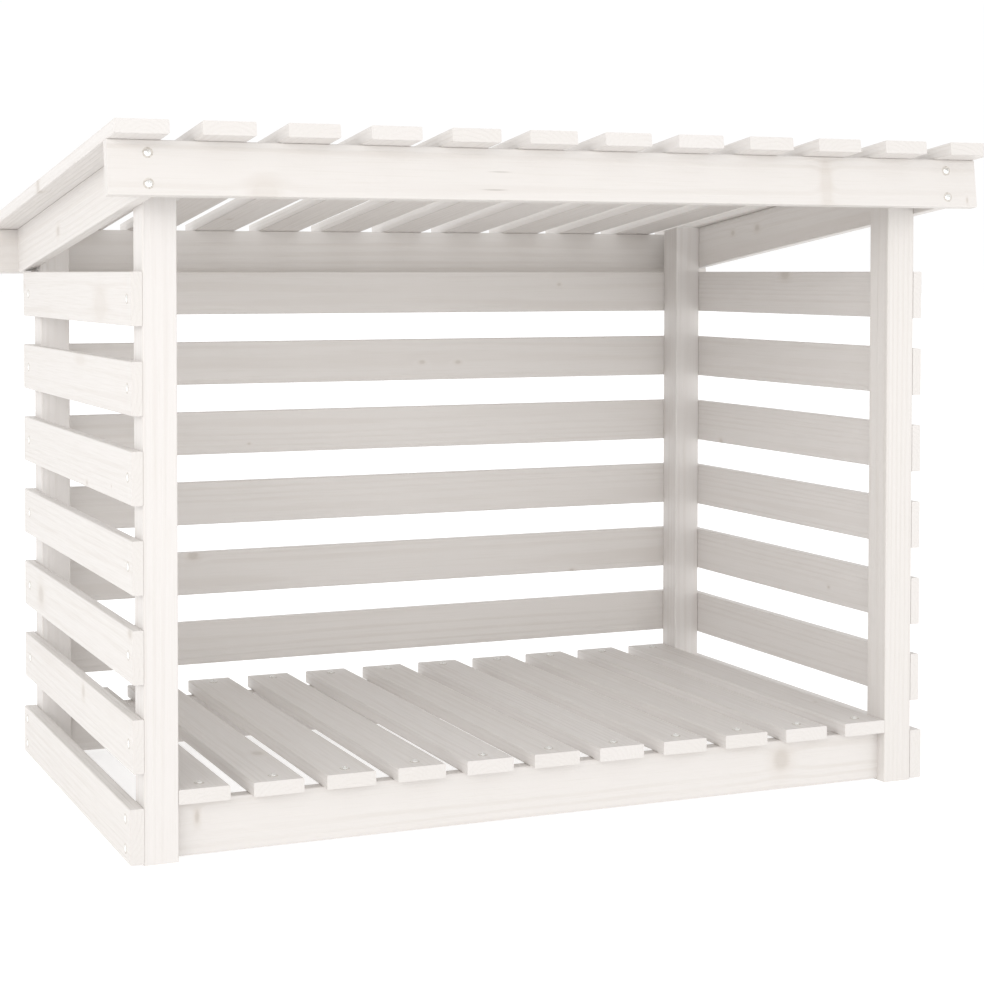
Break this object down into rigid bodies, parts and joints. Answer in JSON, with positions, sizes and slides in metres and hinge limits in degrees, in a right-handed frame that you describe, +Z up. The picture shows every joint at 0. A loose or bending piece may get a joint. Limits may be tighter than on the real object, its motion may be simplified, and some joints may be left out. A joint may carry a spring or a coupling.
{
  "type": "log store",
  "caption": "Free-standing open-fronted log store of white-painted pine, with slatted sides, back and floor under a slatted lean-to roof, for stacking split firewood.",
  "frame": {"origin": "on the ground, below the middle of the whole object's box", "axes": "+Z up, the open front faces -Y, +X to the right as seen from the front"},
  "size_m": [1.08, 0.7302, 0.79],
  "materials": {
    "painted_pine": "thin white paint over planed pine, satin, with grain and knots showing through",
    "screw_zinc": "bright zinc-plated countersunk screw heads"
  },
  "bodies": {
    "root": {"back_board_1": "painted_pine", "back_board_2": "painted_pine", "back_board_3": "painted_pine", "back_board_4": "painted_pine", "back_board_5": "painted_pine", "back_board_6": "painted_pine", "floor_slats": "painted_pine", "front_fascia": "painted_pine", "front_left_post": "painted_pine", "front_rail": "painted_pine", "front_right_post": "painted_pine", "left_base_board": "painted_pine", "left_rafter": "painted_pine", "left_side_board_1": "painted_pine", "left_side_board_2": "painted_pine", "left_side_board_3": "painted_pine", "left_side_board_4": "painted_pine", "left_side_board_5": "painted_pine", "left_side_board_6": "painted_pine", "rear_fascia": "painted_pine", "rear_left_post": "painted_pine", "rear_rail": "painted_pine", "rear_right_post": "painted_pine", "right_base_board": "painted_pine", "right_rafter": "painted_pine", "right_side_board_1": "painted_pine", "right_side_board_2": "painted_pine", "right_side_board_3": "painted_pine", "right_side_board_4": "painted_pine", "right_side_board_5": "painted_pine", "right_side_board_6": "painted_pine", "roof_slat_1": "painted_pine", "roof_slat_10": "painted_pine", "roof_slat_11": "painted_pine", "roof_slat_12": "painted_pine", "roof_slat_2": "painted_pine", "roof_slat_3": "painted_pine", "roof_slat_4": "painted_pine", "roof_slat_5": "painted_pine", "roof_slat_6": "painted_pine", "roof_slat_7": "painted_pine", "roof_slat_8": "painted_pine", "roof_slat_9": "painted_pine"}
  },
  "joints": []
}
